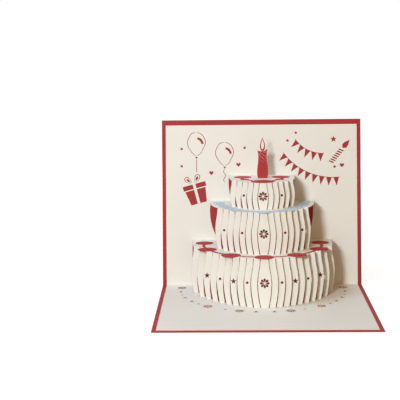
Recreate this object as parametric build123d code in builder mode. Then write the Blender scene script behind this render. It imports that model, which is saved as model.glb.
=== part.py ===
from build123d import *
import math
import os

# Card and paper, in millimetres and degrees
card_width = 180.0
panel_length = 150.0
opening_angle = 99.4
cover_thickness = 0.4
sheet_thickness = 0.3
side_margin = 3.4
end_margin = 5.0

# Upper tier of the cake
upper_height = 23.0
upper_half_width = 27.0
upper_front_depth = 51.0
upper_bow = 25.0
upper_centre_strip = 6.3
upper_side_strips = 5
upper_wave = 1.5
upper_flare = 2.6

# Middle tier, with its ledges around the upper tier
middle_height = 35.5
middle_side_ledge = 12.6
middle_front_ledge = 15.5
middle_bow = 36.0
middle_centre_strip = 6.6
middle_side_strips = 7
middle_wave = 2.1
middle_flare = 7.0

# Lower tier, with its ledges around the middle tier
lower_height = 41.0
lower_side_ledge = 21.2
lower_front_ledge = 14.5
lower_bow = 66.0
lower_centre_strip = 6.9
lower_side_strips = 10
lower_wave = 2.5
lower_flare = 2.0

# Strips and their cuts
plan_squareness = 1.7
wave_peak = 0.5
wave_points = 7
strip_gap = 0.45
slip_limit = 8.0
flare_at_fold = 0.9
flare_peak = 0.65
relief_radius = 0.8
relief_share = 0.67

# Cut-outs in the strips and the floor
flower_radius = 4.0
flower_petals = 8
flower_eye = 0.7
petal_width = 2.0
petal_shoulder = 0.65
petal_tip = 0.5
blossom_radius = 2.6
blossom_arms = 5
blossom_waist = 0.4
dot_radius = 1.1
dot_corners = 8
strip_motif_share = 0.5
floor_ring_clearance = 11.8

# Balloons, gift and small ornaments cut out of the back panel
slit_width = 0.45
balloon_width = 16.8
balloon_height = 22.0
balloon_bridge = 1.6
balloon_knot_radius = 0.9
balloon_side = [(0, 1.0), (0.7, 0.75), (1.0, 0.15), (0.62, -0.55), (0, -1.0)]
highlight_outside = 6.6
highlight_width = 2.0
highlight_start = 5.0
highlight_sweep = 75.0
string_length = 11.5
string_wave = 1.0
string_half_waves = 3
string_points = 9
gift_width = 21.0
gift_lid_height = 4.2
gift_body_height = 13.0
gift_taper = 2.2
gift_ribbon = 2.6
gift_lid_gap = 0.9
gift_tilt = 15.0
bow_length = 8.5
bow_width = 5.0
bow_spread = 38.0
bow_loop_side = [(0.35, 0.12), (1.0, 0.6), (0.75, 0.9), (0, 1.0)]
bow_drop_side = [(0, 0.2), (0.45, 0.55), (0, 0.8)]
heart_size = 3.8
heart_side = [(0, -0.5), (0.48, 0.02), (0.5, 0.3), (0.27, 0.46), (0, 0.28)]
star_radius = 2.9
star_arms = 5
star_waist = 0.45
wall_dot_radius = 1.1
flag_width = 5.0
flag_length = 7.2
taper_length = 16.0
taper_width = 4.4
taper_stripes = 7
taper_tilt = 50.0
stripe_tilt = 17.0
taper_flame_side = [(0, 0), (0.55, 0.55), (0.45, 1.25), (0, 2.2)]

# Candle on the upper tier
candle_depth = 21.0
candle_shift = 0.7
candle_height = 25.5
candle_width = 9.2
candle_left_side = [(-0.46, 0), (-0.48, 0.45), (-0.42, 0.65), (-0.5, 0.97)]
candle_right_side = [(0.46, 0), (0.48, 0.42), (0.42, 0.62), (0.5, 1.03)]
candle_dip = 0.94
candle_thickness = 0.3
candle_tab = 6.0
candle_tab_taper = 0.8
flame_height = 12.0
flame_width = 4.6
flame_belly = 0.35
flame_rim = 1.0

# Icing garlands on the tops of the tiers: each dollop by its distance from the middle, its depth out
# from the back and its share of the full size
garland_thickness = 0.2
dollop_corners = 14
lower_band = 2.4
lower_link_bow = 2.0
lower_dollop_width = 17.0
lower_dollop_depth = 15.0
lower_dollops = [(0.0, 75.5, 1.0), (28.0, 67.5, 1.0), (48.5, 43.5, 1.0), (51.5, 16.0, 0.95)]
middle_band = 7.6
middle_link_bow = 1.0
middle_dollop_width = 12.0
middle_dollop_depth = 12.0
middle_dollops = [(0.0, 63.0, 1.0), (22.0, 53.5, 0.9), (33.5, 32.0, 0.8), (38.5, 12.5, 0.85)]
upper_band = 2.2
upper_link_bow = 2.0
upper_dollop_width = 16.0
upper_dollop_depth = 13.5
upper_dollops = [(0.0, 42.0, 1.3), (15.5, 29.0, 0.5), (17.0, 14.5, 1.0)]

lean = math.radians(opening_angle - 90)
rise = math.cos(lean)
slope = math.sin(lean)

# How far a panel reaches under the foot of a strip, and under the back panel without meeting the cover
seat = sheet_thickness / rise
back_seat = sheet_thickness * (1 - abs(slope)) / rise

# The fold line of the cover lies so that the whole card is centred on the origin
rear_reach = panel_length * slope + cover_thickness * rise
cover_fold_y = (panel_length - rear_reach) / 2
sheet_fold_y = cover_fold_y - sheet_thickness * (1 - slope) / rise
sheet_fold_z = cover_thickness + sheet_thickness


def fold_point(height, depth, shift):
    """A point of the pop-up: height along the back panel, depth out from it, shift to the right."""
    return (shift, sheet_fold_y + height * slope - depth, sheet_fold_z + height * rise)


def level_plane(height, depth=0.0, shift=0.0):
    """The plane of a panel that lies parallel to the floor."""
    return Plane(origin=fold_point(height, depth, shift), x_dir=(1, 0, 0), z_dir=(0, 0, 1))


def front_plane(height, depth=0.0, shift=0.0):
    """The plane of a panel that stands parallel to the back."""
    return Plane(origin=fold_point(height, depth, shift), x_dir=(1, 0, 0), z_dir=(0, -rise, slope))


def mirrored(points):
    """The same points on the left side, in reverse order."""
    return [(-x, y) for x, y in reversed(points)]


class Tier:
    """One tier of the cake: its level on the back panel, its plan curve and its strips."""

    def __init__(self, base, height, front_depth, half_width, bow, centre_strip, side_strips, wave, flare):
        self.base = base
        self.height = height
        self.top = base + height
        self.front_depth = front_depth
        self.half_width = half_width
        self.bow = bow
        self.centre_strip = centre_strip
        self.side_strips = side_strips
        self.wave = wave
        self.flare = flare
        self.fold_half = half_width + flare * flare_at_fold
        self.pitch = (half_width - centre_strip / 2) / side_strips
        self.end_depth = self.depth(side_strips)

    def outer_edge(self, index):
        """Distance from the middle to the outer cut of a strip, counted from the centre strip."""
        return self.centre_strip / 2 + index * self.pitch

    def strip_middle(self, index):
        """Distance from the middle of the cake to the middle of a strip."""
        return 0.0 if index == 0 else self.outer_edge(index) - self.pitch / 2

    def depth(self, index):
        """How far a strip stands out from the back, on the rounded plan of the tier."""
        share = (self.strip_middle(index) / self.half_width) ** plan_squareness
        return self.front_depth - self.bow * (1 - (1 - share) ** (1 / plan_squareness))

    def steps(self, setback=0.0):
        """Corners of the stepped front edge, from right to left, at a setback behind the strips."""
        right = []
        for index in range(self.side_strips, 0, -1):
            row = setback - self.depth(index)
            right.append((self.outer_edge(index), row))
            right.append((self.outer_edge(index - 1), row))
        right.append((self.outer_edge(0), setback - self.depth(0)))
        return right + mirrored(right)

    def wave_at(self, share):
        """Sideways swing of a cut, where share runs from 0 at the top to 1 at the foot."""
        if share <= 0:
            return 0.0
        if share < wave_peak:
            return self.wave * math.sin(math.pi / 2 * share / wave_peak) ** 2
        return self.wave * math.cos(math.pi / 2 * (share - wave_peak) / (1 - wave_peak))

    def slip(self, index):
        """How much lower a cut sits on a strip than on its inner neighbour, which stands further out."""
        return min(self.depth(index - 1) - self.depth(index), slip_limit)

    def cut(self, offset, slip=0.0):
        """Points of a wavy cut, from the foot of the strips to their top."""
        points = []
        for step in range(wave_points):
            row = self.height * step / (wave_points - 1)
            points.append((offset + self.wave_at(1 - (row + slip) / self.height), row))
        return points

    def strip_outline(self, index):
        """The two wavy cuts beside one strip on the right side, inner one first."""
        outer = self.cut(self.outer_edge(index) - strip_gap / 2)
        if index == 0:
            return mirrored(outer)[::-1], outer
        return self.cut(self.outer_edge(index - 1) + strip_gap / 2, self.slip(index)), outer

    def motif_place(self, index):
        """Where a cut-out sits on a strip, half-way between its two cuts."""
        row = self.height * strip_motif_share
        swing = self.wave_at(1 - strip_motif_share)
        if index > 0:
            swing = (swing + self.wave_at(1 - strip_motif_share - self.slip(index) / self.height)) / 2
        return self.strip_middle(index) + swing, row


upper_base = lower_height + middle_height
middle_half_width = upper_half_width + middle_side_ledge
middle_front_depth = upper_front_depth + middle_front_ledge
lower_half_width = middle_half_width + lower_side_ledge
lower_front_depth = middle_front_depth + lower_front_ledge
lower = Tier(0.0, lower_height, lower_front_depth, lower_half_width, lower_bow,
             lower_centre_strip, lower_side_strips, lower_wave, lower_flare)
middle = Tier(lower_height, middle_height, middle_front_depth, middle_half_width, middle_bow,
              middle_centre_strip, middle_side_strips, middle_wave, middle_flare)
upper = Tier(upper_base, upper_height, upper_front_depth, upper_half_width, upper_bow,
             upper_centre_strip, upper_side_strips, upper_wave, upper_flare)
tiers = [lower, middle, upper]


def scaled(shares, width, height):
    """Points given as shares of a width and a height."""
    return [(x * width, y * height) for x, y in shares]


def star_outline(arms, radius, waist):
    """Corners of a star that points up, with its waist as a share of its radius."""
    points = []
    for corner in range(2 * arms):
        reach = radius if corner % 2 == 0 else radius * waist
        angle = math.pi / 2 + math.pi * corner / arms
        points.append((reach * math.cos(angle), reach * math.sin(angle)))
    return points


# Flowers are rings of drop-shaped petals, with the narrow end towards the eye
petal_side = [(0, 0), (petal_shoulder, 0.5), (1.0, 0.5 * petal_tip)]
petal_half = scaled(petal_side, flower_radius - flower_eye, petal_width)
petal_other_half = [(x, -y) for x, y in reversed(petal_half[1:])]
with BuildSketch() as flower:
    with PolarLocations(flower_eye, flower_petals):
        Polygon(*petal_half, *petal_other_half, align=None)

with BuildSketch() as blossom:
    Polygon(*star_outline(blossom_arms, blossom_radius, blossom_waist), align=None)

with BuildSketch() as star:
    Polygon(*star_outline(star_arms, star_radius, star_waist), align=None)

heart_half = scaled(heart_side, heart_size, heart_size)
with BuildSketch() as heart:
    Polygon(*heart_half, *mirrored(heart_half)[1:-1], align=None)

# A balloon is a slit around an oval, with bridges at the top and the knot, and a highlight inside
balloon_foot = -balloon_height / 2
with BuildSketch() as balloon:
    for inset, mode in ((0, Mode.ADD), (slit_width, Mode.SUBTRACT)):
        side = scaled(balloon_side, balloon_width / 2 - inset, balloon_height / 2 - inset)
        with BuildLine():
            Spline(*side, tangents=[(1, 0), (-1, -0.6)])
            Spline(*mirrored(side), tangents=[(-1, 0.6), (1, 0)])
        make_face(mode=mode)
    Rectangle(balloon_bridge, balloon_height, mode=Mode.SUBTRACT)
    with BuildLine():
        outer_arc = CenterArc((0, 0), highlight_outside, highlight_start, highlight_sweep)
        inner_arc = CenterArc((0, 0), highlight_outside - highlight_width, highlight_start, highlight_sweep)
        Line(outer_arc @ 0, inner_arc @ 0)
        Line(outer_arc @ 1, inner_arc @ 1)
    make_face()
    with Locations((0, balloon_foot - balloon_knot_radius)):
        RegularPolygon(balloon_knot_radius, dot_corners)

string_start = balloon_foot - 3 * balloon_knot_radius
with BuildSketch() as straight_string:
    with Locations((0, string_start - string_length / 2)):
        Rectangle(slit_width, string_length)

wavy_left = []
wavy_right = []
for step in range(string_points + 1):
    share = step / string_points
    swing = -string_wave * math.sin(string_half_waves * math.pi * share)
    row = string_start - string_length * share
    wavy_left.append((swing - slit_width / 2, row))
    wavy_right.append((swing + slit_width / 2, row))
with BuildSketch() as wavy_string:
    Polygon(*wavy_left, *reversed(wavy_right), align=None)

# The gift is cut in four fields, with the ribbon and the edge of the lid left standing
gift_half = gift_width / 2
body_half = gift_half - gift_taper / 2
body_top = -gift_lid_height - gift_lid_gap
body_foot = body_top - gift_body_height
ribbon_half = gift_ribbon / 2
loop_edge = scaled(bow_loop_side, bow_width / 2, bow_length)
loop_inner = [(max(x - slit_width, 0), y - slit_width) for x, y in loop_edge]
drop_half = scaled(bow_drop_side, bow_width / 2, bow_length)
with BuildSketch() as bow_half:
    Polygon(*loop_edge, *reversed(loop_inner), align=None)
    mirror(about=Plane.YZ)
    Polygon(*drop_half, *mirrored(drop_half)[1:-1], align=None)
with BuildSketch() as gift:
    Polygon((ribbon_half, 0), (gift_half, 0), (gift_half, -gift_lid_height), (ribbon_half, -gift_lid_height),
            align=None)
    Polygon((ribbon_half, body_top), (body_half, body_top), (body_half - gift_taper, body_foot),
            (ribbon_half, body_foot), align=None)
    with Locations(Location((ribbon_half, slit_width * 2), (0, 0, -bow_spread))):
        add(bow_half.sketch)
    mirror(about=Plane.YZ)

# A striped taper with a drop-shaped flame
stripe_pitch = taper_length / taper_stripes
taper_flame = scaled(taper_flame_side, taper_width, taper_width)
with BuildSketch() as taper:
    for stripe in range(taper_stripes):
        with Locations((0, stripe * stripe_pitch)):
            Rectangle(taper_width, stripe_pitch / 2, rotation=stripe_tilt)
    with Locations((0, taper_length)):
        Polygon(*taper_flame, *mirrored(taper_flame)[1:-1], align=None)


def bunting(start, sag_point, end, flags):
    """A sagging string of pennants, cut as one opening."""
    with BuildLine() as string_path:
        ThreePointArc(start, sag_point, end)
    string_edge = string_path.edge()
    half_flag = flag_width / 2
    with BuildSketch() as row:
        with BuildLine():
            ThreePointArc(start, sag_point, end)
            Line(end, (end[0], end[1] + slit_width))
            ThreePointArc((end[0], end[1] + slit_width), (sag_point[0], sag_point[1] + slit_width),
                          (start[0], start[1] + slit_width))
            Line((start[0], start[1] + slit_width), start)
        make_face()
        for flag in range(flags):
            share = (flag + 0.5) / flags
            along = string_edge.tangent_at(share)
            with Locations(string_edge.position_at(share)):
                Polygon((-half_flag, slit_width / 2), (half_flag, slit_width / 2), (0, -flag_length),
                        rotation=math.degrees(math.atan2(along.Y, along.X)), align=None)
    return row.sketch


# Ornaments of the back panel, by their places across the card and up from the fold
wall_dots = [(-72.1, 123.6), (-72.2, 107.9), (-14.9, 124.2), (31.5, 137.5), (24.0, 130.5), (66.4, 106.5)]
wall_hearts = [(-20.6, 108.9), (-45.3, 101.5), (73.0, 107.8)]
first_balloon = (-58.7, 127.6)
second_balloon = (-33.2, 118.4)
gift_place = (-61.2, 91.5)
star_place = (65.5, 131.5)
taper_place = (63.5, 111.0)
short_bunting_path = [(31.0, 131.5), (42.5, 121.5), (57.0, 118.5)]
short_bunting_flags = 5
long_bunting_path = [(20.0, 119.5), (42.0, 101.5), (71.0, 97.0)]
long_bunting_flags = 9
wall_ornaments = [
    (balloon.sketch, first_balloon, 0),
    (straight_string.sketch, first_balloon, 0),
    (balloon.sketch, second_balloon, 0),
    (wavy_string.sketch, second_balloon, 0),
    (gift.sketch, gift_place, gift_tilt),
    (star.sketch, star_place, 0),
    (taper.sketch, taper_place, taper_tilt - 90),
    (bunting(*short_bunting_path, short_bunting_flags), (0, 0), 0),
    (bunting(*long_bunting_path, long_bunting_flags), (0, 0), 0),
]

# Ornaments of the floor lie on a ring around the cake, at these angles from straight ahead
floor_flowers = [17, 41, 97]
floor_blossoms = [6, 58, 69, 86]
floor_dots = [27, 50, 77]
ring_centre_depth = lower.front_depth - lower.half_width
ring_radius = lower.half_width + floor_ring_clearance


def ring_places(angles):
    """Places on the floor ring, the same on both sides."""
    places = []
    for angle in angles:
        for side in (-1, 1):
            turn = math.radians(angle) * side
            places.append((ring_radius * math.sin(turn), -ring_centre_depth - ring_radius * math.cos(turn)))
    return places


# Strips that carry a dot or a blossom, counted from the centre strip
strip_dots = {lower: [2, 6], middle: [3, 6], upper: [3]}
strip_blossoms = {lower: [4, 8], middle: [], upper: []}

# Red cover: one sheet folded across its middle
with BuildPart() as cover:
    with BuildSketch(Plane.YZ) as cover_section:
        with BuildLine():
            Polyline(
                (cover_fold_y - panel_length, 0),
                (cover_fold_y + cover_thickness * (1 - slope) / rise, 0),
                (cover_fold_y + rear_reach, cover_thickness + panel_length * rise - cover_thickness * slope),
                (cover_fold_y + panel_length * slope, cover_thickness + panel_length * rise),
                (cover_fold_y, cover_thickness),
                (cover_fold_y - panel_length, cover_thickness),
                close=True,
            )
        make_face()
    extrude(amount=card_width / 2, both=True)
cover.part.label = "cover"

# Cream inner sheet: strips first, then the tops of the tiers, the floor and the back
sheet_half = card_width / 2 - side_margin
sheet_length = panel_length - end_margin
with BuildPart() as inner_sheet:
    for tier in tiers:
        for index in range(tier.side_strips + 1):
            with BuildSketch(front_plane(tier.base, tier.depth(index))):
                inner_cut, outer_cut = tier.strip_outline(index)
                Polygon(*inner_cut, *reversed(outer_cut), align=None)
                if index > 0:
                    mirror(about=Plane.YZ)
                motif_x, motif_row = tier.motif_place(index)
                with Locations((-motif_x, motif_row), (motif_x, motif_row)):
                    if index in strip_dots[tier]:
                        RegularPolygon(dot_radius, dot_corners, mode=Mode.SUBTRACT)
                    if index in strip_blossoms[tier]:
                        add(blossom.sketch, mode=Mode.SUBTRACT)
                if index == 0:
                    with Locations((0, motif_row)):
                        add(flower.sketch, mode=Mode.SUBTRACT)

    for tier, next_tier in zip(tiers, [middle, upper, None]):
        with BuildSketch(level_plane(tier.top)):
            right_end = [
                (tier.half_width, -tier.end_depth),
                (tier.half_width + tier.flare, -tier.end_depth * (1 - flare_peak)),
                (tier.fold_half, 0),
            ]
            with BuildLine():
                Polyline(*tier.steps())
                Spline(*right_end)
                Polyline((tier.fold_half, 0), (tier.fold_half, back_seat),
                         (-tier.fold_half, back_seat), (-tier.fold_half, 0))
                Spline(*mirrored(right_end))
            make_face()
            if next_tier is not None:
                hole = next_tier.steps(seat)
                Polygon(*hole, (-next_tier.half_width, back_seat), (next_tier.half_width, back_seat),
                        align=None, mode=Mode.SUBTRACT)
                relief_depth = next_tier.end_depth * relief_share
                with Locations((-next_tier.half_width, -relief_depth), (next_tier.half_width, -relief_depth)):
                    RegularPolygon(relief_radius, dot_corners, mode=Mode.SUBTRACT)

    with BuildSketch(level_plane(0)):
        Polygon((-sheet_half, back_seat), (-sheet_half, -sheet_length),
                (sheet_half, -sheet_length), (sheet_half, back_seat), align=None)
        Polygon(*lower.steps(seat), (-lower.half_width, back_seat), (lower.half_width, back_seat),
                align=None, mode=Mode.SUBTRACT)
        relief_depth = lower.end_depth * relief_share
        with Locations((-lower.half_width, -relief_depth), (lower.half_width, -relief_depth)):
            RegularPolygon(relief_radius, dot_corners, mode=Mode.SUBTRACT)
        with Locations(*ring_places(floor_flowers)):
            add(flower.sketch, mode=Mode.SUBTRACT)
        with Locations(*ring_places(floor_blossoms)):
            add(blossom.sketch, mode=Mode.SUBTRACT)
        with Locations(*ring_places(floor_dots)):
            RegularPolygon(dot_radius, dot_corners, mode=Mode.SUBTRACT)

    with BuildSketch(front_plane(0)):
        Polygon((-sheet_half, 0), (sheet_half, 0), (sheet_half, sheet_length), (-sheet_half, sheet_length),
                align=None)
        for tier in tiers:
            right_side = [
                (tier.half_width, tier.base),
                (tier.half_width + tier.flare, tier.base + tier.height * flare_peak),
                (tier.fold_half, tier.top),
            ]
            with BuildLine():
                Spline(*right_side)
                Line((tier.fold_half, tier.top), (-tier.fold_half, tier.top))
                Spline(*mirrored(right_side))
                Line((-tier.half_width, tier.base), (tier.half_width, tier.base))
            make_face(mode=Mode.SUBTRACT)
        for ornament, place, turn in wall_ornaments:
            with Locations(Location((place[0], place[1], 0), (0, 0, turn))):
                add(ornament, mode=Mode.SUBTRACT)
        with Locations(*wall_dots):
            RegularPolygon(wall_dot_radius, dot_corners, mode=Mode.SUBTRACT)
        with Locations(*wall_hearts):
            add(heart.sketch, mode=Mode.SUBTRACT)
    extrude(amount=-sheet_thickness)
inner_sheet.part.label = "inner_sheet"

# Candle: one piece of red paper, folded at its foot, with an open ring for the flame
candle_foot = candle_thickness * abs(slope) / rise
left_side = scaled(candle_left_side, candle_width, candle_height)
right_side = scaled(candle_right_side, candle_width, candle_height)
left_foot = (left_side[0][0], candle_foot)
right_foot = (right_side[0][0], candle_foot)
flame_foot = left_side[-1][1]
ring_foot = flame_foot + flame_rim
ring_height = flame_height - 3 * flame_rim
with BuildPart() as candle:
    with BuildSketch(front_plane(upper.top, candle_depth, candle_shift)):
        with BuildLine():
            Spline(right_foot, *right_side[1:])
            Spline(right_side[-1], (0, candle_height * candle_dip), left_side[-1])
            Spline(*reversed(left_side[1:]), left_foot)
            Line(left_foot, right_foot)
        make_face()
        flame_outline = [
            (0, flame_foot - flame_rim),
            (flame_width / 2, flame_foot + flame_height * flame_belly),
            (0, flame_foot + flame_height),
        ]
        with BuildLine():
            Spline(*flame_outline, tangents=[(1, 0.4), (-0.25, 1)])
            Spline(*mirrored(flame_outline), tangents=[(-0.25, -1), (1, -0.4)])
        make_face()
        ring_opening = [
            (0, ring_foot),
            (flame_width / 2 - flame_rim, ring_foot + ring_height * flame_belly),
            (0, ring_foot + ring_height),
        ]
        with BuildLine():
            Spline(*ring_opening, tangents=[(1, 0.6), (-0.25, 1)])
            Spline(*mirrored(ring_opening), tangents=[(-0.25, -1), (1, -0.6)])
        make_face(mode=Mode.SUBTRACT)
    extrude(amount=-candle_thickness)
    with BuildSketch(level_plane(upper.top, candle_depth, candle_shift)):
        tab_start = right_side[0][0]
        tab_end = tab_start * candle_tab_taper
        Polygon((-tab_start, 0), (tab_start, 0), (tab_end, candle_tab), (-tab_end, candle_tab), align=None)
    extrude(amount=candle_thickness)
candle.part.label = "candle"


def dollop_outline(width, depth):
    """Corners of an oval dollop of icing."""
    points = []
    for corner in range(dollop_corners):
        turn = 2 * math.pi * corner / dollop_corners
        points.append((width / 2 * math.cos(turn), depth / 2 * math.sin(turn)))
    return points


def garland_sketch(dollops, width, depth, band, link_bow):
    """Icing dollops on both sides of the middle, joined by links that bow out towards the rim."""
    right = [(x, -row) for x, row, size in dollops]
    sizes = [size for x, row, size in dollops]
    places = mirrored(right)[:-1] + right
    sizes = sizes[:0:-1] + sizes
    bends = []
    for start, end in zip(places, places[1:]):
        link = math.dist(start, end)
        outward = ((end[1] - start[1]) / link, (start[0] - end[0]) / link)
        bends.append(((start[0] + end[0]) / 2 + link_bow * outward[0],
                      (start[1] + end[1]) / 2 + link_bow * outward[1]))
    with BuildSketch() as outline:
        with BuildLine() as links:
            for start, bend, end in zip(places, bends, places[1:]):
                Polyline(start, bend, end)
        trace(links.edges(), line_width=band)
        with Locations(*bends):
            RegularPolygon(band / 2, dot_corners)
        for place, size in zip(places, sizes):
            with Locations(place):
                Polygon(*dollop_outline(width * size, depth * size), align=None)
    return outline.sketch


with BuildPart() as lower_garland:
    with BuildSketch(level_plane(lower.top)):
        add(garland_sketch(lower_dollops, lower_dollop_width, lower_dollop_depth,
                           lower_band, lower_link_bow))
    extrude(amount=garland_thickness)
lower_garland.part.label = "lower_garland"

with BuildPart() as middle_garland:
    with BuildSketch(level_plane(middle.top)):
        add(garland_sketch(middle_dollops, middle_dollop_width, middle_dollop_depth,
                           middle_band, middle_link_bow))
    extrude(amount=garland_thickness)
middle_garland.part.label = "middle_garland"

with BuildPart() as upper_garland:
    with BuildSketch(level_plane(upper.top)):
        add(garland_sketch(upper_dollops, upper_dollop_width, upper_dollop_depth,
                           upper_band, upper_link_bow))
    extrude(amount=garland_thickness)
upper_garland.part.label = "upper_garland"

os.makedirs("parts", exist_ok=True)
export_step(cover.part, "parts/cover.step")
export_step(inner_sheet.part, "parts/inner_sheet.step")
export_step(candle.part, "parts/candle.step")
export_step(lower_garland.part, "parts/lower_garland.step")
export_step(middle_garland.part, "parts/middle_garland.step")
export_step(upper_garland.part, "parts/upper_garland.step")
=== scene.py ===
import math

import bmesh
import bpy
from mathutils import Matrix, Vector


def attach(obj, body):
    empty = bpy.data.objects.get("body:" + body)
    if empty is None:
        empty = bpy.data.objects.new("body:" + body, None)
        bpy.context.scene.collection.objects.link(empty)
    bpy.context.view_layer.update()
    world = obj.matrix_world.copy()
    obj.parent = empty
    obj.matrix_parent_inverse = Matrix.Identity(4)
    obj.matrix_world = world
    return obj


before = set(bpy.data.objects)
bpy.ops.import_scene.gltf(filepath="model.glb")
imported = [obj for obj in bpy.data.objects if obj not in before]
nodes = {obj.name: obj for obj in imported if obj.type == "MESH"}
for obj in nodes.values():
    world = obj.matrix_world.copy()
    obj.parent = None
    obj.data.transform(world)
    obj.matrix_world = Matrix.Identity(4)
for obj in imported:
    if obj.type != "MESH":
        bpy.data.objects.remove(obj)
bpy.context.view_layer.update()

# Sizes in metres
MM = 0.001

# Camera, as the photograph was taken
camera_place = Vector((-27.3, -873.65, 233.0)) * MM
camera_yaw = math.radians(-1.72)
camera_pitch = math.radians(9.35)
camera_roll = math.radians(-0.68)
camera_lens = 95.2
camera_sensor = 36.0

# Studio: a key light left of the camera, a soft light high on the left, a small one behind the card
# and an even warm fill
studio_target = Vector((0.0, 0.02, 0.07))
key_distance = 1.0
key_place = studio_target + Vector((-0.35, -0.9, 0.35)).normalized() * key_distance
key_size = 0.17
key_power = 6.15
key_colour = (0.89, 0.96, 0.98)
high_place = Vector((-0.5, -0.1, 0.95))
high_size = 0.5
high_power = 5.2
high_colour = (0.56, 0.72, 1.0)
rear_place = Vector((0.0, 0.95, 0.3))
rear_size = 0.15
rear_power = 5.0
rear_colour = (1.0, 0.98, 0.95)
fill_strength = 0.275
fill_colour = (1.0, 0.65, 0.2, 1.0)
white = (1.0, 1.0, 1.0, 1.0)

# Floor: its glow beside the card, the distances over which that rises to white, and what it throws back
floor_glow = 0.88
floor_fade = (0.16, 0.6)
floor_bounce = (0.28, 0.18, 0.14, 1.0)
floor_grey = 0.2
floor_half = 4.0
floor_drop = 0.2 * MM

# Paper: clouds and fibres per metre, how strongly the fibres stand out, its roughness and its gloss
cloud_scale = 45.0
fibre_scale = 1800.0
fibre_bump = 0.25
smooth_fibre_scale = 1400.0
smooth_fibre_bump = 0.15
fibre_depth = 0.05 * MM
card_roughness = 0.65
cream_roughness = 0.55
paper_roughness = 0.7
paper_gloss = 0.3

# Least cosine between a broad face of a sheet and the panel that it follows; cut edges stay below it
panel_facing = 0.9

# Brown along a cut, the cutter's browning and painted shade in the gaps between strips: its width, wider
# on the lying panel, where the extra is painted shade in the cut-outs, and the sideways turn that shows it
scorch_and_shade_width = 0.28 * MM
floor_scorch_and_shade_width = 0.85 * MM
lying_height = 1.2 * MM
scorch_and_shade_turn = (0.05, 0.4)
scorch_and_shade_samples = 4

# Frosting on the blue garland
frost_scale = 420.0
frost_range = (0.46, 0.62)
frost_share = 0.75

# Pale wavy lines on the candle, and the heights between which they come up
pale_line_scale = 150.0
pale_line_swing = 6.0
pale_line_ripple = 1.5
pale_line_limit = 0.93
pale_line_share = 0.6
pale_line_foot = 110.0 * MM
pale_line_top = 120.0 * MM

# Printed ink
ink_roughness = 0.45
ink_gloss = 0.4

# Picture printed on the outside of the cover, measured from the fold and from the middle of the card
print_centre = 7.3 * MM
print_thickness = 0.06 * MM
print_sink = 0.01 * MM
cake_lower = {"width": 69.5 * MM, "top": 76.0 * MM, "foot": 109.0 * MM,
              "icing": 11.0 * MM, "round": 10.0 * MM}
cake_upper = {"width": 50.0 * MM, "top": 52.5 * MM, "foot": 76.0 * MM,
              "icing": 9.0 * MM, "round": 6.5 * MM}
icing_waves = 3
icing_swing = 2.6 * MM
print_candle_width = 4.8 * MM
print_candle_top = 38.0 * MM
print_flame_top = 27.0 * MM
print_flame_width = 4.8 * MM
print_flame_rise = print_flame_width * 0.6

# The cover's standing panel: points this near the ground belong to its foot
foot_band = 0.1 * MM


def screen_colour(red, green, blue):
    """A colour given as screen values from 0 to 255, in linear light."""
    linear = []
    for value in (red, green, blue):
        share = value / 255
        linear.append(share / 12.92 if share <= 0.04045 else ((share + 0.055) / 1.055) ** 2.4)
    return (*linear, 1.0)


class Tree:
    """Short words for building the nodes of a material or of the world."""

    def __init__(self, owner, bare=False):
        owner.use_nodes = True
        self.owner = owner
        self.tree = owner.node_tree
        if bare:
            self.tree.nodes.clear()

    def set(self, socket, value):
        """Give a socket a constant, or link another socket to it."""
        if isinstance(value, bpy.types.NodeSocket):
            self.tree.links.new(value, socket)
        else:
            socket.default_value = value

    def node(self, kind, settings=None, **inputs):
        """A node with settings, and inputs by name."""
        made = self.tree.nodes.new(kind)
        for name, value in (settings or {}).items():
            setattr(made, name, value)
        for name, value in inputs.items():
            self.set(made.inputs[name.replace("_", " ")], value)
        return made

    def math(self, operation, *values):
        """The result of a sum on numbers or sockets."""
        made = self.node("ShaderNodeMath", {"operation": operation})
        for socket, value in zip(made.inputs, values):
            self.set(socket, value)
        return made.outputs[0]

    def mix(self, share, first, second):
        """A blend of two colours."""
        made = self.node("ShaderNodeMix", {"data_type": "RGBA"}, Factor=share)
        colours = [socket for socket in made.inputs if socket.type == "RGBA"]
        self.set(colours[0], first)
        self.set(colours[1], second)
        return [socket for socket in made.outputs if socket.type == "RGBA"][0]

    def ramp(self, value, span, low=0.0, high=1.0):
        """A number that climbs from low to high while the value crosses a span."""
        made = self.node("ShaderNodeMapRange", {"clamp": True}, Value=value,
                         From_Min=span[0], From_Max=span[1], To_Min=low, To_Max=high)
        return made.outputs["Result"]

    def place(self):
        """Where a point lies on the object."""
        return self.node("ShaderNodeTexCoord").outputs["Object"]

    def axis(self, vector, letter):
        """One coordinate of a vector."""
        return self.node("ShaderNodeSeparateXYZ", Vector=vector).outputs[letter]

    def true_normal(self):
        """The direction in which a face points."""
        return self.node("ShaderNodeNewGeometry").outputs["True Normal"]

    def dot(self, vector, direction):
        """How far a vector points in a fixed direction."""
        made = self.node("ShaderNodeVectorMath", {"operation": "DOT_PRODUCT"})
        self.set(made.inputs[0], vector)
        self.set(made.inputs[1], tuple(direction))
        return made.outputs["Value"]

    def noise(self, place, scale, detail):
        """Soft random grey at a number of cells per metre."""
        return self.node("ShaderNodeTexNoise", Vector=place, Scale=scale, Detail=detail).outputs["Fac"]

    def paper(self, colour, roughness, normal):
        """Set the shader to paper of a colour and give back the material."""
        return self.shade(Base_Color=colour, Roughness=roughness, Normal=normal,
                          Specular_IOR_Level=paper_gloss)

    def shade(self, **inputs):
        """Set the shader's inputs and give back the material."""
        shader = self.tree.nodes["Principled BSDF"]
        for name, value in inputs.items():
            self.set(shader.inputs[name.replace("_", " ")], value)
        return self.owner

    def shaders(self, kind, first, second, **inputs):
        """The output of a node that joins two shaders, which are its last two inputs."""
        made = self.node(kind, **inputs)
        self.set(made.inputs[-2], first.outputs[0])
        self.set(made.inputs[-1], second.outputs[0])
        return made.outputs[0]


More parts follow.
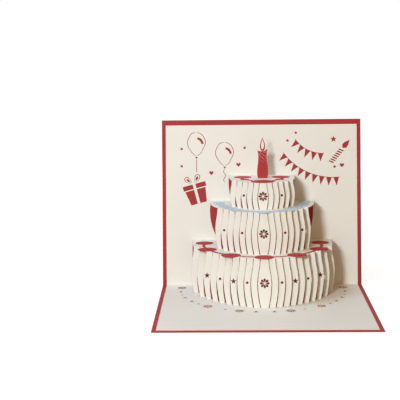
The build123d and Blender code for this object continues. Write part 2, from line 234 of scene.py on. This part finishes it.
def wall_directions():
    """The foot and the upward direction of the cover's rear face."""
    points = [vertex.co.copy() for vertex in nodes["cover"].data.vertices]
    lowest = min(point.z for point in points)
    foot = max((point for point in points if point.z < lowest + foot_band), key=lambda point: point.y)
    head = max(points, key=lambda point: point.y)
    up = Vector((0, head.y - foot.y, head.z - foot.z)).normalized()
    return Vector((0, foot.y, foot.z)), up


rear_foot, wall_up = wall_directions()
wall_back = Vector((0, wall_up.z, -wall_up.y))
outward = (Vector((0, 0, -1)), wall_back)


def paper_grain(tree, place, fibres_per_metre, bump):
    """Cloudy tone and fine fibres of paper: a share for the colour and a bump for the surface."""
    clouds = tree.noise(place, cloud_scale, 3.0)
    fibres = tree.noise(place, fibres_per_metre, 4.0)
    tone = tree.math("MULTIPLY_ADD", fibres, 0.5, tree.math("MULTIPLY", clouds, 0.5))
    relief = tree.node("ShaderNodeBump", Strength=bump, Distance=fibre_depth, Height=fibres)
    return tone, relief.outputs["Normal"]


def cut_edge_share(tree):
    """1 on the cut edges of a sheet, 0 on its broad faces."""
    normal = tree.true_normal()
    facing = [tree.math("ABSOLUTE", tree.dot(normal, direction)) for direction in outward]
    return tree.math("LESS_THAN", tree.math("MAXIMUM", *facing), panel_facing)


def outside_share(tree):
    """1 on the rear of the standing panel and under the lying one, 0 elsewhere."""
    normal = tree.true_normal()
    facing = [tree.dot(normal, direction) for direction in outward]
    return tree.math("GREATER_THAN", tree.math("MAXIMUM", *facing), panel_facing)


def scorch_and_shade_share(tree):
    """Up to 1 on the faces along a sheet's cut edges, 0 on folds: the cutter's browning and painted shade.
    """
    lying = tree.math("LESS_THAN", tree.axis(tree.place(), "Z"), lying_height)
    # The band is wider on the lying panel: painted shade in its cut-outs
    width = tree.math("MULTIPLY_ADD", lying, floor_scorch_and_shade_width - scorch_and_shade_width, scorch_and_shade_width)
    rounded = tree.node("ShaderNodeBevel", {"samples": scorch_and_shade_samples}, Radius=width).outputs["Normal"]
    return tree.ramp(tree.math("ABSOLUTE", tree.axis(rounded, "X")), scorch_and_shade_turn)


def card_paper(name, light, dark, edge, roughness, fibres=fibre_scale, bump=fibre_bump,
               outside=None, frost=None, scorched_and_shaded=False):
    """Dyed paper with cloudy tone, fibres and a tinted cut edge.

    It can have other colours on the outside, which on the red card are painted light: a brighter red for
    the rear faces, which the lamps leave dim. It can have frosting, or brown along its cuts, which is the
    cutter's browning and painted shade.
    """
    tree = Tree(bpy.data.materials.new(name))
    place = tree.place()
    tone, normal = paper_grain(tree, place, fibres, bump)
    face = tree.mix(tone, light, dark)
    # On the red card this is painted light: a brighter red on the rear faces, which the lamps leave dim
    if outside:
        face = tree.mix(outside_share(tree), face, tree.mix(tone, *outside))
    if frost:
        crumbs = tree.ramp(tree.noise(place, frost_scale, 3.0), frost_range, high=frost_share)
        face = tree.mix(crumbs, face, frost)
    # Brown along the cuts: the cutter's browning, which also paints shade in gaps and cut-outs
    if scorched_and_shaded:
        face = tree.mix(scorch_and_shade_share(tree), face, edge)
    return tree.paper(tree.mix(cut_edge_share(tree), face, edge), roughness, normal)


def candle_paper(name, light, dark, pale_line_colour):
    """The candle's red paper, with pale wavy lines on its upper half."""
    tree = Tree(bpy.data.materials.new(name))
    place = tree.place()
    tone, normal = paper_grain(tree, place, fibre_scale, fibre_bump)
    face = tree.mix(tone, light, dark)
    lines = tree.node("ShaderNodeTexWave", {"bands_direction": "DIAGONAL"}, Vector=place, Scale=pale_line_scale,
                      Distortion=pale_line_swing, Detail=1.0, Detail_Scale=pale_line_ripple).outputs["Fac"]
    thin = tree.math("GREATER_THAN", lines, pale_line_limit)
    upper = tree.ramp(tree.axis(place, "Z"), (pale_line_foot, pale_line_top))
    share = tree.math("MULTIPLY", tree.math("MULTIPLY", thin, upper), pale_line_share)
    return tree.paper(tree.mix(share, face, pale_line_colour), paper_roughness, normal)


def ink(name, colour):
    """An even printed colour with a slight gloss."""
    tree = Tree(bpy.data.materials.new(name))
    return tree.shade(Base_Color=colour, Roughness=ink_roughness, Specular_IOR_Level=ink_gloss)


def dress(name, material):
    """Give a CAD node its material."""
    nodes[name].data.materials.clear()
    nodes[name].data.materials.append(material)


def paint_nodes():
    """Paper for every piece of the card."""
    # The red card's outside colours are a brighter red than its inside: painted light for the dim rear
    red_card = card_paper("red_card", screen_colour(174, 50, 52), screen_colour(161, 41, 44),
                          screen_colour(142, 38, 40), card_roughness,
                          outside=(screen_colour(203, 55, 58), screen_colour(193, 48, 51)))
    # The cream's brown along its cuts is the cutter's browning and painted shade
    cream = card_paper("cream_paper", screen_colour(244, 240, 231), screen_colour(236, 231, 220),
                       screen_colour(160, 124, 90), cream_roughness,
                       smooth_fibre_scale, smooth_fibre_bump, scorched_and_shaded=True)
    red_paper = card_paper("red_paper", screen_colour(180, 57, 53), screen_colour(168, 48, 46),
                           screen_colour(146, 41, 42), paper_roughness)
    blue_paper = card_paper("blue_paper", screen_colour(190, 211, 222), screen_colour(178, 202, 215),
                            screen_colour(165, 185, 195), paper_roughness,
                            frost=screen_colour(226, 232, 233))
    candle = candle_paper("candle_paper", screen_colour(179, 52, 52), screen_colour(167, 44, 45),
                          screen_colour(232, 170, 168))
    dress("cover", red_card)
    dress("inner_sheet", cream)
    dress("candle", candle)
    dress("lower_garland", red_paper)
    dress("middle_garland", blue_paper)
    dress("upper_garland", red_paper)


def rear_point(across, along, lift):
    """A point on the outside of the standing panel, by its distance from the fold."""
    return rear_foot + Vector((across, 0, 0)) + wall_up * along + wall_back * lift


def printed_shape(name, outline, layer, material):
    """A flat field of ink with a closed outline, lying on the outside of the cover."""
    mesh = bpy.data.meshes.new(name)
    shape = bmesh.new()
    ring = [shape.verts.new(rear_point(x + print_centre, y, -print_sink)) for x, y in outline]
    base = shape.faces.new(ring)
    raised = bmesh.ops.extrude_face_region(shape, geom=[base])
    top = [item for item in raised["geom"] if isinstance(item, bmesh.types.BMVert)]
    bmesh.ops.translate(shape, verts=top, vec=wall_back * (print_thickness * layer + print_sink))
    bmesh.ops.recalc_face_normals(shape, faces=shape.faces)
    shape.to_mesh(mesh)
    shape.free()
    mesh.materials.append(material)
    piece = bpy.data.objects.new(name, mesh)
    bpy.context.scene.collection.objects.link(piece)
    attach(piece, "root")


def arc(centre, radius, start, end, steps=8):
    """Points of an arc, with angles in degrees."""
    points = []
    for step in range(steps + 1):
        turn = math.radians(start + (end - start) * step / steps)
        points.append((centre[0] + radius * math.cos(turn), centre[1] + radius * math.sin(turn)))
    return points


def rounded_top(tier):
    """The two round shoulders of a printed cake tier, from left to right."""
    half, round_off = tier["width"] / 2, tier["round"]
    row = tier["top"] + round_off
    left = arc((-half + round_off, row), round_off, 180, 270)
    right = arc((half - round_off, row), round_off, 270, 360)
    return left + right


def wavy_edge(tier, steps=48):
    """The dripping lower edge of the icing, from right to left."""
    half = tier["width"] / 2
    points = []
    for step in range(steps + 1):
        share = step / steps
        swing = icing_swing * math.cos(2 * math.pi * icing_waves * share)
        points.append((half - tier["width"] * share, tier["top"] + tier["icing"] + swing))
    return points


def cover_print():
    """A plain cake in two tiers with icing and a candle, printed on the cover's outside."""
    yellow_ink = ink("yellow_ink", screen_colour(250, 205, 40))
    white_ink = ink("white_ink", screen_colour(238, 236, 242))
    for name, tier in (("lower", cake_lower), ("upper", cake_upper)):
        half = tier["width"] / 2
        cake = rounded_top(tier) + [(half, tier["foot"]), (-half, tier["foot"])]
        printed_shape(f"print_{name}_tier", cake, 1, yellow_ink)
        printed_shape(f"print_{name}_icing", rounded_top(tier) + wavy_edge(tier), 2, white_ink)
    half, head, foot = print_candle_width / 2, print_candle_top, cake_upper["top"]
    printed_shape("print_candle", [(-half, head), (half, head), (half, foot), (-half, foot)], 1, yellow_ink)
    round_foot = arc((0, head - print_flame_rise), print_flame_width / 2, -20, 200, 16)
    printed_shape("print_flame", [(0, print_flame_top)] + round_foot, 1, yellow_ink)


def set_camera():
    """Stand where the photograph was taken."""
    forward = Vector((math.sin(camera_yaw) * math.cos(camera_pitch),
                      math.cos(camera_yaw) * math.cos(camera_pitch), -math.sin(camera_pitch)))
    level = Vector((math.cos(camera_yaw), -math.sin(camera_yaw), 0))
    upright = level.cross(forward)
    right = math.cos(camera_roll) * level + math.sin(camera_roll) * upright
    up = math.cos(camera_roll) * upright - math.sin(camera_roll) * level
    data = bpy.data.cameras.new("camera")
    data.lens = camera_lens
    data.sensor_width = camera_sensor
    data.dof.use_dof = False
    camera = bpy.data.objects.new("camera", data)
    turn = Matrix((right, up, -forward)).transposed().to_4x4()
    camera.matrix_world = Matrix.Translation(camera_place) @ turn
    bpy.context.scene.collection.objects.link(camera)
    bpy.context.scene.camera = camera


def soft_light(name, place, size, power, colour):
    """A round soft light that faces the card."""
    data = bpy.data.lights.new(name, "AREA")
    data.shape = "DISK"
    data.size = size
    data.energy = power
    data.color = colour
    light = bpy.data.objects.new(name, data)
    light.location = place
    light.rotation_mode = "QUATERNION"
    light.rotation_quaternion = (studio_target - place).to_track_quat("-Z", "Y")
    bpy.context.scene.collection.objects.link(light)


def background_share(tree):
    """1 for rays on which the background shows, straight or in a gloss, and 0 for rays that carry light."""
    path = tree.node("ShaderNodeLightPath")
    share = path.outputs["Is Camera Ray"]
    for kind in ("Is Glossy Ray", "Is Transmission Ray"):
        share = tree.math("MAXIMUM", share, path.outputs[kind])
    return share


def set_world():
    """White where the background shows, and an even fill for everything else."""
    world = bpy.data.worlds.new("studio")
    bpy.context.scene.world = world
    tree = Tree(world, bare=True)
    fill = tree.node("ShaderNodeBackground", Color=fill_colour, Strength=fill_strength)
    shown = tree.node("ShaderNodeBackground", Color=white, Strength=1.0)
    blend = tree.shaders("ShaderNodeMixShader", fill, shown, Fac=background_share(tree))
    tree.node("ShaderNodeOutputWorld", Surface=blend)


def floor_paint():
    """White that glows for the camera, a little less beside the card, and takes the card's shadow."""
    tree = Tree(bpy.data.materials.new("floor_white"), bare=True)
    distance = tree.node("ShaderNodeVectorMath", {"operation": "LENGTH"}, Vector=tree.place())
    shown = tree.ramp(distance.outputs["Value"], floor_fade, low=floor_glow)
    glow = tree.node("ShaderNodeEmission", Color=tree.mix(background_share(tree), floor_bounce, shown))
    matt = tree.node("ShaderNodeBsdfDiffuse", Color=(floor_grey, floor_grey, floor_grey, 1.0))
    tree.node("ShaderNodeOutputMaterial", Surface=tree.shaders("ShaderNodeAddShader", glow, matt))
    return tree.owner


def set_floor():
    """A pale floor that runs out to the white of the studio."""
    mesh = bpy.data.meshes.new("floor")
    signs = ((-1, -1), (1, -1), (1, 1), (-1, 1))
    corners = [(x * floor_half, y * floor_half, -floor_drop) for x, y in signs]
    mesh.from_pydata(corners, [], [(0, 1, 2, 3)])
    mesh.materials.append(floor_paint())
    floor = bpy.data.objects.new("floor", mesh)
    bpy.context.scene.collection.objects.link(floor)


paint_nodes()
cover_print()
set_camera()
soft_light("key_light", key_place, key_size, key_power, key_colour)
soft_light("high_light", high_place, high_size, high_power, high_colour)
soft_light("rear_light", rear_place, rear_size, rear_power, rear_colour)
set_world()
set_floor()

bpy.context.scene.view_settings.view_transform = "Standard"
